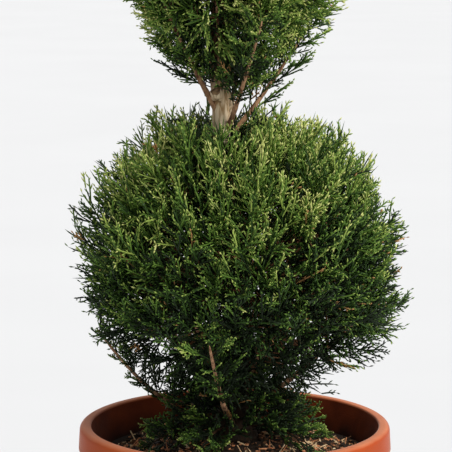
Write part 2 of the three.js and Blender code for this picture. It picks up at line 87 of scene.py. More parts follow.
# Balls of foliage. Below its middle, a low power draws a ball's outline in to a cone. A ball's glow is
# painted light that makes all of its leaf tones lighter.
LOWER_BALL = Sizes(
    name="lower_ball", middle=(7, 0, 425), radius=157, above=160, below=146, below_power=2.0, dimple=0.1,
    sprays=1500, spray_length=(50, 76), tufts=230, twig_ends=130, thin_below=0.78, glow=0,
    sectors=4, seed=11,
)
UPPER_BALL = Sizes(
    name="upper_ball", middle=(-5, 0, 725), radius=117, above=119, below=157, below_power=1.5, dimple=0,
    sprays=800, spray_length=(44, 66), tufts=130, twig_ends=84, thin_below=0.42, glow=0.62,
    sectors=2, seed=23,
)
# The lightest, tuft tone and inner light belong to the painted light in the leaf tones: its cap, its random
# spread by tuft, and painted shade on the inner sprays.
BALL = Sizes(
    lump=0.03, lump_waves=(3, 4), fine_share=0.7, fine_waves=(9, 5), dimple_from=0.86,
    tuft_scatter=0.25, spray_scatter=0.02, gather=0.3, cleft=0.05, tuft_height=0.012, lift=0.45, sway=0.38,
    surface=(0.93, 1.0), leader=(1.02, 1.06), leader_share=0.14, inner=(0.6, 0.88), inner_share=0.2,
    over=0.03, open_from=-0.3, open_to=-0.6, trunk_room=4, lightest=0.9, tuft_tone=0.055, inner_light=0.4,
)
NECK = Sizes(middle=570, half_height=16, room=12)

# Boughs leave the trunk one golden angle apart. The outer ones carry a skirt under the ball.
# Of each pair of heights, rises or bends, the first is for a bough to -X and the last for one to +X.
# A habit is for sprays along a stem, and a heart is short shaded sprays straight from the trunk.
# A limit is a share of the way to the ball's outline. For the foot sprays it is a height over the soil. A
# light is painted light in the sprays' leaf tones: low for shaded sprays, high for lit ones.
LOWER_BOUGHS = Sizes(
    name="lower_bough", skirt="lower_skirt", turn=-15, legs=(70, 112), ball=LOWER_BALL,
    outer=Sizes(count=5, heights=(259, 264), rises=(4, 40), bends=(51, 4), root_radius=3.6),
    inner=Sizes(count=5, heights=(266, 280), rises=(55, 59), bends=(12, 12), root_radius=3.0),
    habit=Sizes(
        sprays=14, start=0.42, end=0.98, angle=42, upright=0.7, lengths=(36, 32), light=0.38, limit=1.08),
    heart=Sizes(
        sprays=104, heights=(310, 545), rises=(35, 35), lengths=(38, 58), light=0.2, limit=1, seed=51),
)
UPPER_BOUGHS = Sizes(
    name="upper_bough", skirt="upper_skirt", turn=20, legs=(70, 72), ball=UPPER_BALL,
    outer=Sizes(count=5, heights=(558, 536), rises=(58, 48), bends=(8, 8), root_radius=2.9),
    inner=Sizes(count=3, heights=(566, 586), rises=(66, 66), bends=(7, 7), root_radius=2.5),
    habit=Sizes(
        sprays=19, start=0.26, end=0.98, angle=44, upright=0.3, lengths=(44, 36), light=0.44, limit=1.15),
    heart=Sizes(
        sprays=124, heights=(584, 770), rises=(20, 50), lengths=(34, 50), light=0.4, limit=1, seed=53),
)
BOUGH = Sizes(
    sides=12, rings=36, slim_at=0.7, slim_share=0.5, end_share=0.3,
    collar=0.55, collar_length=0.06, rough=0.13,
)
SKIRT = Sizes(shortest=12, seed=31)
FOOT_SPRAY = Sizes(
    name="foot_spray", azimuths=(-31, 21, 106, 201, 244), height=260, length=92, rise=16, droop=28,
    crown_at=0.5, stem_radius=2.0, seed=41,
    habit=Sizes(
        sprays=13, start=0.12, end=0.92, angle=36, upright=0.3, lengths=(48, 20), light=0.25, limit=1),
    heart=Sizes(
        sprays=104, heights=(257, 324), rises=(0, 50), lengths=(34, 56), light=0.2, limit=1, seed=57),
)
# Paler out: painted light, which makes sprays further out along a stem paler.
STEM = Sizes(length_spread=(0.85, 1.15), paler_out=0.28)
HEART = Sizes(rise_spread=10, root_share=0.9)

# A spray is a green shoot with side shoots on both sides, and leafy tips on those.
SPRAY = Sizes(
    sides=3, bend=0.14, rise=0.06, roll=0.4,
    axis_width=1.8, axis_knots=(0, 0.3, 0.6, 0.86, 1), axis_swell=(0.7, 0.8, 0.9, 0.8),
    shoots=8, shoot_span=(0.25, 0.95), shoot_slip=0.03, shoot_share=0.48, shoot_taper=0.55,
    shoot_reach=(0.75, 1.2), angles=(46, 26), angle_spread=6, curl=0.2,
    shoot_width=1.8, shoot_knots=(0, 0.4, 0.82, 1), shoot_swell=(0.8, 1, 0.95),
    tips=5, tip_span=(0.25, 0.94), tip_slip=0.04, tip_angle=34, tip_angle_spread=7,
    tip_length=(5.5, 9.5), tip_taper=(1.15, 0.7), tip_share=0.55, tip_waist=0.6, tip_width=(1.45, 1.95),
)
# A spray's leaf tones are its painted light times light tones, over the base tone. Along a spray and along
# a shoot they grow paler, as new growth and as painted light on the tips.
LEAF = Sizes(
    base_tone=-2.0, light_tones=4.0, spray_spread=0.4, shoot_spread=0.55, along_spray=1.6, along_shoot=1.3,
    dry_shoots=0.009, dry_tips=0.004, seed_step=100,
)
TWIG = Sizes(
    sides=5, rings=7, root_radius=1.7, tip_radius=0.9, end_reach=0.7, bend=0.45, behind=0.5, pull=1.5,
    link_radius=0.75, link_sides=3, link_step=3, link_pull=1.0,
    trunk_below=0.8, trunk_above=0.6, trunk_step=4, bough_from=8, bough_step=3,
)

# Camera, by the photograph's frame of pixels, and the light
FRAME_PIXELS = 452
CAMERA = Sizes(place=(-8.5, -2140, 790.6), pitch=8.85, focal_pixels=2267, sensor=36, sees_metres=100)
LIGHTS = [
    Sizes(name="key_light", azimuth=-48, elevation=36, spread=30, strength=2.3),
    Sizes(name="top_light", azimuth=-95, elevation=68, spread=45, strength=1.5),
]
LIGHT_COLOUR = (1.0, 0.985, 0.96)
ROOM = Sizes(fill=0.36, fill_colour=(0.97, 0.985, 1.0, 1), seen=(243, 243, 243))
FLOOR = Sizes(radius=30000, corners=64)


# Numbers, directions and curves

def lerp(low, high, share):
    return low + (high - low) * share


def unit(vectors):
    return vectors / np.maximum(np.linalg.norm(vectors, axis=-1, keepdims=True), 1e-9)


def across(directions, hints):
    """Unit vectors square to the directions, turned towards the hints."""
    return unit(hints - directions * np.sum(directions * hints, axis=-1, keepdims=True))


def between(rng, limits, shape):
    return rng.uniform(limits[0], limits[1], shape)


def around_a_turn(sides):
    return np.linspace(0, FULL_TURN, sides, endpoint=False)


def heading(length, rise, azimuth):
    flat = length * math.cos(rise)
    return np.array([flat * math.cos(azimuth), flat * math.sin(azimuth), length * math.sin(rise)])


def bent_run(start, bend, end, steps):
    """Points in even steps along a curve that leaves start towards bend and comes to end."""
    shares = np.linspace(0, 1, steps + 1)[:, None]
    return (1 - shares) ** 2 * start + 2 * shares * (1 - shares) * bend + shares ** 2 * end


def at_shares(values, shares):
    """Values of a run of points, read at shares of the way along it."""
    places = np.linspace(0, 1, len(values))
    return np.stack([np.interp(shares, places, column) for column in values.T], axis=1)


def spline_through(knots, count):
    """Points on a centripetal spline through the knots."""
    knots = np.asarray(knots, float)
    padded = np.vstack([2 * knots[0] - knots[1], knots, 2 * knots[-1] - knots[-2]])
    spans = len(knots) - 1
    at = np.linspace(0, spans, count)
    first = np.minimum(at.astype(int), spans - 1)
    share = (at - first)[:, None]
    before, start, end, after = (padded[first + i] for i in range(4))
    pairs = ((before, start), (start, end), (end, after))
    come, span, go = (np.sqrt(np.linalg.norm(b - a, axis=1))[:, None] for a, b in pairs)
    leave = ((start - before) / come - (end - before) / (come + span) + (end - start) / span) * span
    arrive = ((end - start) / span - (after - start) / (span + go) + (after - end) / go) * span
    square = 3 * (end - start) - 2 * leave - arrive
    cube = 2 * (start - end) + leave + arrive
    return start + leave * share + square * share ** 2 + cube * share ** 3


def lattice_noise(rng, cells, around, along):
    """Smooth noise from -1 to 1 on a lattice. It closes on itself around, from 0 to 1."""
    values = rng.uniform(-1, 1, cells)
    a = np.asarray(around) * cells[0]
    b = np.clip(np.asarray(along), 0, 1) * (cells[1] - 1)
    i = np.floor(a).astype(int)
    j = np.minimum(np.floor(b).astype(int), cells[1] - 2)
    fa, fb = a - i, b - j
    fa, fb = fa * fa * (3 - 2 * fa), fb * fb * (3 - 2 * fb)
    i0, i1 = i % cells[0], (i + 1) % cells[0]
    low = lerp(values[i0, j], values[i1, j], fa)
    high = lerp(values[i0, j + 1], values[i1, j + 1], fa)
    return lerp(low, high, fb)


# Meshes from arrays

def limb_faces(rings, sides, has_root_cap):
    """Triangles of one limb: its rings of points come first, then its tip, then the middle of its root."""
    ring = np.arange(sides)
    after = (ring + 1) % sides
    faces = []
    for r in range(rings - 1):
        a, b = r * sides + ring, r * sides + after
        c, d = a + sides, b + sides
        faces += [np.stack([a, b, d], 1), np.stack([a, d, c], 1)]
    last, tip = (rings - 1) * sides, rings * sides
    faces.append(np.stack([last + ring, last + after, np.full(sides, tip)], 1))
    if has_root_cap:
        faces.append(np.stack([after, ring, np.full(sides, tip + 1)], 1))
    return np.vstack(faces)


def limbs(paths, radii, sides, hints, flat=1.0, has_root_cap=False):
    """Many tapering limbs. A path's last place is its pointed tip, and each other has a ring of points."""
    count, rings = radii.shape[:2]
    tangents = unit(np.gradient(paths, axis=1))[:, :rings]
    side = across(tangents, np.broadcast_to(hints[:, None], tangents.shape))
    other = np.cross(tangents, side) * flat
    turn = around_a_turn(sides)[:, None]
    radii = radii if radii.ndim == 3 else np.repeat(radii[..., None], sides, axis=2)
    ring = np.cos(turn) * side[:, :, None] + np.sin(turn) * other[:, :, None]
    points = paths[:, :rings, None] + radii[..., None] * ring
    points = [points.reshape(count, rings * sides, 3), paths[:, -1:]]
    if has_root_cap:
        points.append(paths[:, :1])
    points = np.concatenate(points, axis=1)
    faces = limb_faces(rings, sides, has_root_cap)
    faces = faces[None] + (np.arange(count) * points.shape[1])[:, None, None]
    return points.reshape(-1, 3), faces.reshape(-1, 3)


def joined(parts):
    """Several (points, triangles, finishes) as one. A finish is one number, or one for each triangle."""
    points, triangles, finishes, start = [], [], [], 0
    for part_points, part_triangles, finish in parts:
        points.append(part_points)
        triangles.append(part_triangles + start)
        finishes.append(np.broadcast_to(finish, len(part_triangles)))
        start += len(part_points)
    return np.vstack(points), np.vstack(triangles), np.concatenate(finishes)


def placed(name, data):
    thing = bpy.data.objects.new(name, data)
    bpy.context.scene.collection.objects.link(thing)
    return thing


def add_piece(name, replaced, shape, materials, is_smooth=True):
    """A piece of the plant or its pot, from arrays, in place of CAD nodes."""
    points, triangles, finishes = shape
    mesh = bpy.data.meshes.new(name)
    mesh.vertices.add(len(points))
    mesh.vertices.foreach_set("co", (points * MM).astype(np.float32).ravel())
    mesh.loops.add(triangles.size)
    mesh.loops.foreach_set("vertex_index", triangles.astype(np.int32).ravel())
    mesh.polygons.add(len(triangles))
    mesh.polygons.foreach_set("loop_start", np.arange(0, triangles.size, 3, dtype=np.int32))
    for material in materials:
        mesh.materials.append(material)
    mesh.polygons.foreach_set("material_index", np.asarray(finishes, np.int32))
    mesh.polygons.foreach_set("use_smooth", np.full(len(triangles), is_smooth))
    mesh.update(calc_edges=True)
    piece = placed(name, mesh)
    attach(piece, "root")
    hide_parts(*replaced)


# Shared surface effects

def add_node(tree, kind, inputs, **settings):
    """A new shader node's outputs. Each of its inputs gets a plain value, or a link from a socket."""
    node = tree.nodes.new(kind)
    for name, setting in settings.items():
        setattr(node, name, setting)
    for label, value in inputs.items():
        if isinstance(value, bpy.types.NodeSocket):
            tree.links.new(value, node.inputs[label])
        else:
            node.inputs[label].default_value = value
    return node.outputs


def effect_group(name, inputs, outputs):
    """An empty node group, with the sockets that it is given and those that it makes."""
    group = bpy.data.node_groups.new(name, "ShaderNodeTree")
    for label, value in inputs.items():
        socket = group.interface.new_socket(name=label, in_out="INPUT", socket_type="NodeSocketFloat")
        socket.default_value = value
    for label in outputs:
        group.interface.new_socket(name=label, in_out="OUTPUT", socket_type="NodeSocketFloat")
    return group, group.nodes.new("NodeGroupInput").outputs, group.nodes.new("NodeGroupOutput").inputs


def place_on_object(tree):
    return add_node(tree, "ShaderNodeTexCoord", {})["Object"]


def noise(tree, place, scale, detail=2, distortion=0):
    values = {"Vector": place, "Scale": scale, "Detail": detail, "Distortion": distortion}
    return add_node(tree, "ShaderNodeTexNoise", values)["Fac"]


def worked_out(tree, operation, first, second):
    return add_node(tree, "ShaderNodeMath", {0: first, 1: second}, operation=operation)["Value"]


def mask_between(tree, value, low, high):
    """A mask from 0 to 1 as the value goes from low to high."""
    spread = {"Value": value, "From Min": low, "From Max": high}
    return add_node(tree, "ShaderNodeMapRange", spread)["Result"]


def grain_group():
    """Soft mottle with a fine grain in it."""
    group, given, made = effect_group("grain", {"Scale": 100, "Fine Scale": 600}, ["Mask", "Height"])
    place = place_on_object(group)
    mottle = noise(group, place, given["Scale"], detail=3)
    group.links.new(mask_between(group, mottle, low=0.34, high=0.66), made["Mask"])
    group.links.new(noise(group, place, given["Fine Scale"]), made["Height"])
    return group


def furrow_group():
    """Fibres that run up a limb, with darker furrows between them."""
    group, given, made = effect_group("furrow", {"Scale": 240, "Stretch": 0.16}, ["Mask", "Height"])
    stretch = add_node(group, "ShaderNodeCombineXYZ", {"X": 1, "Y": 1, "Z": given["Stretch"]})["Vector"]
    factors = {0: place_on_object(group), 1: stretch}
    drawn = add_node(group, "ShaderNodeVectorMath", factors, operation="MULTIPLY")["Vector"]
    fibre = noise(group, drawn, given["Scale"], detail=4, distortion=0.6)
    group.links.new(mask_between(group, fibre, low=0.36, high=0.6), made["Mask"])
    group.links.new(fibre, made["Height"])
    return group


def level_mask_group():
    """A mask that is full below one height and fades out above it, with a ragged edge. It sets moisture
    stains and painted shade below a level, younger bark above one, and wear and a painted highlight on the
    rim's top.
    """
    group, given, made = effect_group("damp", {"Level": 0.24, "Fade": 0.03}, ["Mask"])
    place = place_on_object(group)
    height = add_node(group, "ShaderNodeSeparateXYZ", {"Vector": place})["Z"]
    above = worked_out(group, "SUBTRACT", height, given["Level"])
    share = worked_out(group, "DIVIDE", above, given["Fade"])
    ragged = worked_out(group, "ADD", share, noise(group, place, scale=38))
    group.links.new(mask_between(group, ragged, low=1.5, high=0.5), made["Mask"])
    return group


GRAIN, FURROW, LEVEL_MASK = grain_group(), furrow_group(), level_mask_group()


# Materials. Their colours are screen values from 0 to 255.

def tint(red, green, blue):
    """The light that a screen colour stands for."""
    def linear(value):
        share = value / 255
        return share / 12.92 if share <= 0.04045 else ((share + 0.055) / 1.055) ** 2.4
    return (linear(red), linear(green), linear(blue), 1)


def blank_material(name):
    material = bpy.data.materials.new(name)
    material.use_nodes = True
    return material, material.node_tree.nodes["Principled BSDF"].inputs


def effect(material, group, **values):
    inputs = {label.replace("_", " "): value for label, value in values.items()}
    return add_node(material.node_tree, "ShaderNodeGroup", inputs, node_tree=group)


def mixed(material, mask, low, high):
    """The low colour where the mask is 0 and the high one where it is 1. Either may be a socket."""
    low, high = (tint(*colour) if isinstance(colour, tuple) else colour for colour in (low, high))
    return add_node(material.node_tree, "ShaderNodeMix", {0: mask, 6: low, 7: high}, data_type="RGBA")[2]


def give_finish(material, shader, colour, mask, roughness, specular, height=None, bump=None):
    """Joins a colour to the shader, roughness by a mask, and bump by a height: its strength and depth."""
    tree = material.node_tree
    shader["Specular IOR Level"].default_value = specular
    tree.links.new(colour, shader["Base Color"])
    spread = {"Value": mask, "To Min": roughness[0], "To Max": roughness[1]}
    tree.links.new(add_node(tree, "ShaderNodeMapRange", spread)["Result"], shader["Roughness"])
    if bump:
        raised = {"Height": height, "Strength": bump[0], "Distance": bump[1] * MM}
        tree.links.new(add_node(tree, "ShaderNodeBump", raised)["Normal"], shader["Normal"])
    return material


def clay_material():
    """Fired clay with a dusty bloom, a little paler along the top of the rim, as wear and as a painted
    highlight.
    """
    material, shader = blank_material("clay")
    shader["Sheen Weight"].default_value = 0.45
    shader["Sheen Roughness"].default_value = 0.22
    shader["Sheen Tint"].default_value = (1.0, 0.84, 0.72, 1)
    body = effect(material, GRAIN, Scale=24, Fine_Scale=900)
    bloom = effect(material, GRAIN, Scale=7, Fine_Scale=320)
    below_rim_wear_and_highlight = effect(material, LEVEL_MASK, Level=(POT.height - POT.rim_round / 2) * MM, Fade=0.0025)
    fired = mixed(material, body["Mask"], (158, 58, 18), (172, 69, 25))
    dusty = mixed(material, bloom["Mask"], fired, (180, 82, 38))
    # The pale top of the rim is a little wear and a painted highlight.
    colour = mixed(material, below_rim_wear_and_highlight["Mask"], (200, 120, 82), dusty)
    return give_finish(material, shader, colour, bloom["Mask"], roughness=(0.46, 0.6), specular=0.1,
                       height=body["Height"], bump=(0.25, 0.5))


def clay_inside_material():
    """The pot's inner wall: a darker clay, as painted shade, and darker still near the soil, partly stained
    by the wet soil and partly painted shade.
    """
    material, shader = blank_material("clay_inside")
    body = effect(material, GRAIN, Scale=30, Fine_Scale=700)
    damp = effect(material, LEVEL_MASK, Level=SOIL_EDGE * MM, Fade=0.03)
    # Painted shade: the inner clay is darker than the outer clay, and the band above the soil is partly
    # stained by moisture and partly shade.
    dry = mixed(material, body["Mask"], (132, 58, 30), (150, 70, 38))
    colour = mixed(material, damp["Mask"], dry, (52, 27, 16))
    return give_finish(material, shader, colour, body["Mask"], roughness=(0.6, 0.8), specular=0.1,
                       height=body["Height"], bump=(0.4, 0.8))


def crumbly_material(name, dark, light):
    material, shader = blank_material(name)
    crumb = effect(material, GRAIN, Scale=260, Fine_Scale=1400)
    colour = mixed(material, crumb["Mask"], dark, light)
    return give_finish(material, shader, colour, crumb["Mask"], roughness=(0.8, 0.95), specular=0.25,
                       height=crumb["Height"], bump=(0.6, 1.0))


ABOVE_PLANT = 1000


def bark_material(name, furrow, ridge, scale, stretch, damp_level=SOIL_TOP, young_and_shade_level=ABOVE_PLANT):
    """Fibrous bark: stained dark up to one level, and brown from a higher level up, as younger bark. On the
    trunk, inside the balls, both are partly painted shade.
    """
    material, shader = blank_material(name)
    fibre = effect(material, FURROW, Scale=scale, Stretch=stretch)
    # Dark below the first level and brown from the second level up: on the trunk these are partly painted
    # shade.
    damp = effect(material, LEVEL_MASK, Level=damp_level * MM, Fade=0.05)
    old = effect(material, LEVEL_MASK, Level=young_and_shade_level * MM, Fade=0.02)
    dry = mixed(material, fibre["Mask"], furrow, ridge)
    young_and_shaded = mixed(material, fibre["Mask"], (66, 46, 31), (122, 90, 62))
    stain_and_shade = mixed(material, fibre["Mask"], (32, 24, 16), (58, 43, 30))
    colour = mixed(material, damp["Mask"], mixed(material, old["Mask"], young_and_shaded, dry), stain_and_shade)
    return give_finish(material, shader, colour, fibre["Mask"], roughness=(0.75, 0.92), specular=0.25,
                       height=fibre["Height"], bump=(0.8, 1.6))


def leaf_material(name, shade, lit):
    """Scale leaves: a waxy green, a little uneven from leaf to leaf."""
    material, shader = blank_material(name)
    scale = effect(material, GRAIN, Scale=190, Fine_Scale=900)
    # The shade and lit colours are a random mottle from leaf to leaf, not light.
    colour = mixed(material, scale["Mask"], shade, lit)
    return give_finish(material, shader, colour, scale["Mask"], roughness=(0.5, 0.68), specular=0.25)


CLAY = [clay_material(), clay_inside_material()]
COMPOST = crumbly_material("compost", (24, 17, 11), (48, 35, 24))
CHIPS = [
    crumbly_material("chip_dark", (76, 51, 35), (132, 93, 63)),
    crumbly_material("chip_red", (188, 114, 72), (242, 172, 122)),
    crumbly_material("chip_pale", (240, 198, 148), (255, 228, 184)),
    COMPOST,
]
# The trunk's bark is dark up to 500 mm and brown from 582 mm up, inside the two balls: moisture stains and
# younger bark, and painted shade as well, so that only the neck shows pale.
TRUNK_BARK = bark_material(
    "trunk_bark", (176, 142, 100), (255, 232, 196), scale=300, stretch=0.2, damp_level=500, young_and_shade_level=582)
BOUGH_BARK = bark_material("bough_bark", (96, 60, 40), (198, 154, 118), scale=190, stretch=0.35)
CUT_WOOD = crumbly_material("cut_wood", (92, 68, 46), (164, 134, 98))
TWIG_BARK = bark_material("twig_bark", (82, 56, 36), (128, 90, 58), scale=700, stretch=0.4)

# Leaf tones, from dark to pale, then dry ones. They go by spray, shoot and tip, and hold painted light:
# dark tones for sprays in shade, pale ones for lit tips and for new growth.
LEAVES = [
    leaf_material("leaf_deep", (18, 30, 14), (27, 42, 18)),
    leaf_material("leaf_mid", (36, 60, 20), (52, 80, 27)),
    leaf_material("leaf_fresh", (74, 106, 37), (100, 132, 50)),
    leaf_material("leaf_new", (134, 158, 69), (161, 180, 90)),
    leaf_material("leaf_pale", (189, 197, 108), (212, 214, 137)),
    leaf_material("leaf_dry", (152, 110, 64), (202, 156, 100)),
]
DRY = len(LEAVES) - 1


# Trunk and boughs

def trunk_line():
    neck_x, neck_z = TRUNK.neck
    tip_x, tip_z = TRUNK.tip
    return spline_through([
        (0, 0, TRUNK.foot),
        (TRUNK.bow, 0, lerp(TRUNK.foot, neck_z, TRUNK.bow_at)),
        (neck_x, 0, neck_z),
        (neck_x - TRUNK.sweep, 0, lerp(neck_z, tip_z, TRUNK.sweep_at)),
        (tip_x, 0, tip_z),
    ], TRUNK.rings)


TRUNK_LINE = trunk_line()


def trunk_axis_at(heights):
    heights = np.asarray(heights, float)
    x = np.interp(heights, TRUNK_LINE[:, 2], TRUNK_LINE[:, 0])
    return np.stack([x, np.zeros_like(x), heights], axis=-1)


def trunk_radius(heights):
    neck_z, tip_z = TRUNK.neck[1], TRUNK.tip[1]
    flare = TRUNK.flare * np.exp(-(heights - TRUNK.foot) / TRUNK.flare_height)
    to_neck = (heights - TRUNK.foot) / (neck_z - TRUNK.foot)
    to_tip = (heights - neck_z) / (tip_z - neck_z)
    below = flare + lerp(TRUNK.foot_radius, TRUNK.neck_radius, to_neck)
    return np.where(to_neck < 1, below, lerp(TRUNK.neck_radius, TRUNK.tip_radius, to_tip))


def bark_relief(rng):
    """Ridges that run up the trunk and its slow swellings, as shares from -1 to 1 at each point."""
    around, along = np.meshgrid(np.arange(TRUNK.sides) / TRUNK.sides, np.linspace(0, 1, TRUNK.rings))
    ridges = lattice_noise(rng, TRUNK.furrow_cells, around, along)
    ridges = ridges + TRUNK.fine_share * lattice_noise(rng, TRUNK.fine_cells, around, along)
    swells = lattice_noise(rng, TRUNK.swell_cells, around, along)
    return ridges / (1 + TRUNK.fine_share), swells


def trunk_shape():
    rng = np.random.default_rng(TRUNK.seed)
    ridges, swells = bark_relief(rng)
    radius = trunk_radius(TRUNK_LINE[:, 2])[:, None]
    slim = np.minimum(radius / TRUNK.neck_radius, 1)
    radii = radius + slim * (TRUNK.furrow * ridges + TRUNK.swell * swells)
    path = np.vstack([TRUNK_LINE, TRUNK_LINE[-1] + UP])
    hint = np.array([[1.0, 0.0, 0.0]])
    bark = limbs(path[None], radii[None], TRUNK.sides, hint, has_root_cap=True)
    return joined([(*bark, 0)] + [stub_shape(stub, rng) for stub in STUBS])


def stub_shape(stub, rng):
    """A short cut shoot: rough bark up to a rounded rim, and pale wood across the cut."""
    root = trunk_axis_at([stub.height])[0]
    out = heading(1, math.radians(stub.rise), math.radians(stub.azimuth))
    path = root + np.outer(np.linspace(0, 1, STUB.rings), out) * stub.length
    radii = stub.radius * (1 + STUB.rough * rng.uniform(-1, 1, (STUB.rings, STUB.sides)))
    radii[-1] *= STUB.round_end
    points, faces = limbs(np.vstack([path, path[-1]])[None], radii[None], STUB.sides, UP[None])
    is_cut = np.any(faces == STUB.rings * STUB.sides, axis=1)
    return points, faces, is_cut.astype(int)


def bough_plans(tier):
    """Each bough's whole run, from the trunk's axis to the end of the foliage that it carries."""
    plans = []
    for index in range(tier.outer.count + tier.inner.count):
        is_outer = index < tier.outer.count
        ring = tier.outer if is_outer else tier.inner
        azimuth = math.radians(tier.turn) + index * GOLDEN_ANGLE
        side = (1 + math.cos(azimuth)) / 2
        rise = math.radians(lerp(*ring.rises, side))
        bend = math.radians(lerp(*ring.bends, side))
        root = trunk_axis_at([lerp(*ring.heights, side)])[0]
        elbow = root + heading(tier.legs[0], rise, azimuth)
        end = elbow + heading(tier.legs[1], rise + bend, azimuth)
        plans.append(Sizes(name=f"{tier.name}_{index + 1}", run=bent_run(root, elbow, end, BOUGH.rings),
                           is_outer=is_outer, root_radius=ring.root_radius))
    return plans


def bough_shape(plan, rng):
    shares = np.linspace(0, 1, BOUGH.rings + 1)[:-1]
    taper = np.interp(shares, [0, BOUGH.slim_at, 1], [1, BOUGH.slim_share, BOUGH.end_share])
    collar = 1 + BOUGH.collar * np.exp(-shares / BOUGH.collar_length)
    knots = 1 + BOUGH.rough * rng.uniform(-1, 1, (BOUGH.rings, BOUGH.sides))
    radii = (plan.root_radius * taper * collar)[:, None] * knots
    around = np.array([[-plan.run[-1][1], plan.run[-1][0], 0.0]])
    return joined([(*limbs(plan.run[None], radii[None], BOUGH.sides, unit(around), has_root_cap=True), 0)])


# Places of the sprays

def ball_reach(ball, directions):
    """How far the ball's outline lies from its middle, in each direction."""
    flat = np.hypot(directions[:, 0], directions[:, 1])
    upward = directions[:, 2]
    is_below = upward < 0
    power = np.where(is_below, ball.below_power, 2.0)
    upright = np.abs(upward) / np.where(is_below, ball.below, ball.above)
    reach = ((flat / ball.radius) ** power + upright ** power) ** (-1 / power)
    azimuth = np.arctan2(directions[:, 1], directions[:, 0])
    around, up = BALL.lump_waves
    lumps = np.sin(around * azimuth + ball.seed) * np.cos(up * upward + ball.seed)
    around, up = BALL.fine_waves
    lumps = lumps + BALL.fine_share * np.sin(around * azimuth - up * upward)
    dimple = ball.dimple * np.clip((upward - BALL.dimple_from) / (1 - BALL.dimple_from), 0, 1)
    return reach * (1 + BALL.lump * lumps * flat - dimple)


def share_of_reach(ball, points):
    """How far out points lie, as a share of the way from the ball's middle to its outline."""
    offset = points - np.array(ball.middle)
    distance = np.linalg.norm(offset, axis=1)
    return distance / ball_reach(ball, offset / np.maximum(distance, 1e-6)[:, None])


def spread_directions(count):
    """Directions spread evenly over a sphere, one golden angle apart, from the top down."""
    index = np.arange(count)
    upward = 1 - (2 * index + 1) / count
    flat = np.sqrt(1 - upward ** 2)
    azimuth = index * GOLDEN_ANGLE
    return np.stack([flat * np.cos(azimuth), flat * np.sin(azimuth), upward], axis=1)


def any_sideways(rng, directions):
    return unit(np.cross(rng.normal(size=directions.shape), directions))


def leaning(forward, sideways, angle):
    return forward * np.cos(angle)[:, None] + sideways * np.sin(angle)[:, None]


def take(plan, keep):
    return Sizes(**{name: values[keep] for name, values in vars(plan).items()})


def all_of(plans):
    names = vars(plans[0])
    return Sizes(**{name: np.concatenate([getattr(plan, name) for plan in plans]) for name in names})


def clear_of_trunk(points):
    """Which points keep their distance from the trunk. It shows bare at the neck."""
    heights = np.clip(points[:, 2], TRUNK.foot, TRUNK.tip[1])
    from_axis = np.linalg.norm((points - trunk_axis_at(heights))[:, :2], axis=1)
    is_neck = np.abs(heights - NECK.middle) < NECK.half_height
    return from_axis > trunk_radius(heights) + np.where(is_neck, NECK.room, BALL.trunk_room)


def ball_sprays(ball):
    """The sprays of a ball stand in tufts. They grow out and up, with their tips near the outline."""
    rng = np.random.default_rng(ball.seed)
    count, across_tuft = ball.sprays, math.sqrt(ball.tufts)
    tufts = rng.normal(0, BALL.tuft_scatter / across_tuft, (ball.tufts, 3))
    tufts = unit(spread_directions(ball.tufts) + tufts)
    directions = unit(spread_directions(count) + rng.normal(0, BALL.spray_scatter, (count, 3)))
    nearest = np.argmax(directions @ tufts.T, axis=1)
    from_tuft = np.arccos(np.clip(np.sum(directions * tufts[nearest], axis=1), -1, 1)) * across_tuft / 2
    directions = unit(lerp(directions, tufts[nearest], BALL.gather))
    upward = directions[:, 2]
    growth = unit(directions + BALL.lift * UP + BALL.sway * any_sideways(rng, directions))
    layer = rng.random(count)
    is_leader = layer < BALL.leader_share
    is_inner = layer > 1 - BALL.inner_share
    share = between(rng, BALL.surface, count) - BALL.cleft * from_tuft ** 2
    share = share + rng.normal(0, BALL.tuft_height, ball.tufts)[nearest]
    share = np.where(is_leader, between(rng, BALL.leader, count), share)
    share = np.where(is_inner, between(rng, BALL.inner, count), share)
    tips = np.array(ball.middle) + directions * (ball_reach(ball, directions) * share)[:, None]
    lengths = between(rng, ball.spray_length, count)
    # Painted light: sprays that face up, and the sprays of a ball with a glow, get lighter leaf tones, and
    # inner sprays get painted shade.
    light = np.clip((1 + upward) / 2 + ball.glow, 0, BALL.lightest)
    light = np.clip(light + rng.normal(0, BALL.tuft_tone, ball.tufts)[nearest], 0, 1)
    plan = Sizes(roots=tips - growth * lengths[:, None], growth=growth, side=any_sideways(rng, growth),
                 lengths=lengths, light=np.where(is_inner, BALL.inner_light, 1) * light,
                 limit=np.maximum(share, BALL.surface[0]) + BALL.over)
    openness = np.clip((BALL.open_from - upward) / (BALL.open_from - BALL.open_to), 0, 1)
    is_kept = rng.random(count) > ball.thin_below * openness
    halfway = lerp(plan.roots, tips, 0.5)
    return take(plan, is_kept & clear_of_trunk(tips) & clear_of_trunk(halfway))


def heart_sprays(habit):
    """Sprays straight from the trunk, up and out, one golden angle apart."""
    rng = np.random.default_rng(habit.seed)
    count = habit.sprays
    shares = (np.arange(count) + rng.random(count)) / count
    heights = lerp(*habit.heights, shares)
    azimuth = np.arange(count) * GOLDEN_ANGLE
    outward = np.stack([np.cos(azimuth), np.sin(azimuth), np.zeros(count)], axis=1)
    rises = np.radians(lerp(*habit.rises, shares) + rng.normal(0, HEART.rise_spread, count))
    growth = leaning(outward, np.tile(UP, (count, 1)), rises)
    roots = trunk_axis_at(heights) + outward * HEART.root_share * trunk_radius(heights)[:, None]
    return Sizes(roots=roots, growth=growth, side=any_sideways(rng, growth),
                 lengths=between(rng, habit.lengths, count),
                 light=np.full(count, habit.light), limit=np.full(count, habit.limit))


